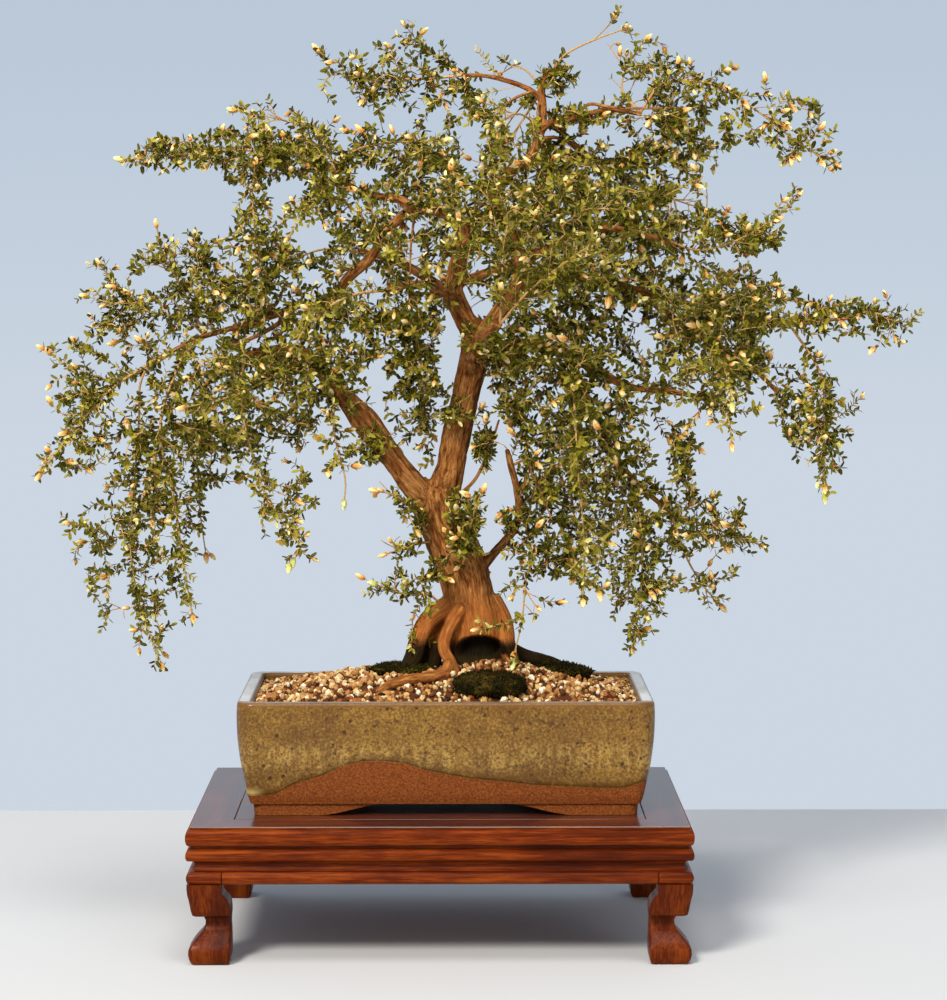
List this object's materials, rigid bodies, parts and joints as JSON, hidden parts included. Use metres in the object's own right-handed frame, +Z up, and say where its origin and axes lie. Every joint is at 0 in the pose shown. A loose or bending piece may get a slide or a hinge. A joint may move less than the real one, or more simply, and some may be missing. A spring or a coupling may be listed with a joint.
{
  "type": "bonsai tree",
  "caption": "Woolly tea tree trained as a bonsai with weeping leafy branches, in a rectangular part-glazed pot on a lacquered wooden display stand.",
  "frame": {"origin": "on the surface that the stand rests on, below the middle of the whole object's extent in X and Y", "axes": "+Z up, the front of the tree faces -Y, +X to the right seen from the front"},
  "size_m": [0.7878, 0.4232, 0.8199],
  "materials": {
    "bark": "rough, flaking bark",
    "leafy_sprays": "small olive green leaves with orange and cream buds",
    "stoneware": "speckled olive glaze above bare red-brown clay",
    "soil": "dark granular soil",
    "gravel": "small mixed cream, tan and rust pebbles",
    "moss": "dark green moss",
    "lacquered_wood": "glossy reddish-brown lacquered wood",
    "plastic_mesh": "matt black plastic"
  },
  "bodies": {
    "root": {"drain_mesh_left": "plastic_mesh", "drain_mesh_right": "plastic_mesh", "gravel": "gravel", "moss_left": "moss", "moss_right": "moss", "mossy_stone": "moss", "pot": "stoneware", "soil": "soil", "spray_back_left_end": "leafy_sprays", "spray_centre_back": "leafy_sprays", "spray_centre_curtain_back": "leafy_sprays", "spray_centre_curtain_front": "leafy_sprays", "spray_centre_front": "leafy_sprays", "spray_crown_back": "leafy_sprays", "spray_crown_front": "leafy_sprays", "spray_crown_left": "leafy_sprays", "spray_crown_peak": "leafy_sprays", "spray_crown_right": "leafy_sprays", "spray_crown_right_hang": "leafy_sprays", "spray_front_left_end": "leafy_sprays", "spray_hanging_twigs": "leafy_sprays", "spray_left_curtain_inner": "leafy_sprays", "spray_left_curtain_mid": "leafy_sprays", "spray_left_curtain_outer": "leafy_sprays", "spray_left_hook": "leafy_sprays", "spray_left_inner_drop": "leafy_sprays", "spray_left_pad_back": "leafy_sprays", "spray_left_pad_front": "leafy_sprays", "spray_left_rise": "leafy_sprays", "spray_left_tip_high": "leafy_sprays", "spray_left_tip_low": "leafy_sprays", "spray_low_right_end": "leafy_sprays", "spray_lower_right": "leafy_sprays", "spray_lower_right_curtain": "leafy_sprays", "spray_right_back": "leafy_sprays", "spray_right_front": "leafy_sprays", "spray_right_high_back": "leafy_sprays", "spray_right_high_front": "leafy_sprays", "spray_right_high_tip": "leafy_sprays", "spray_right_low_tip": "leafy_sprays", "spray_right_mid": "leafy_sprays", "spray_right_tip": "leafy_sprays", "spray_trunk_front": "leafy_sprays", "spray_trunk_left_low": "leafy_sprays", "spray_trunk_left_mid": "leafy_sprays", "spray_trunk_right_hang": "leafy_sprays", "spray_upper_left_crest": "leafy_sprays", "spray_upper_left_front": "leafy_sprays", "spray_upper_left_tip": "leafy_sprays", "stand_apron_back": "lacquered_wood", "stand_apron_front": "lacquered_wood", "stand_apron_left": "lacquered_wood", "stand_apron_right": "lacquered_wood", "stand_frame": "lacquered_wood", "stand_leg_back_left": "lacquered_wood", "stand_leg_back_right": "lacquered_wood", "stand_leg_front_left": "lacquered_wood", "stand_leg_front_right": "lacquered_wood", "stand_panel": "lacquered_wood", "trunk_and_branches": "bark"}
  },
  "joints": []
}
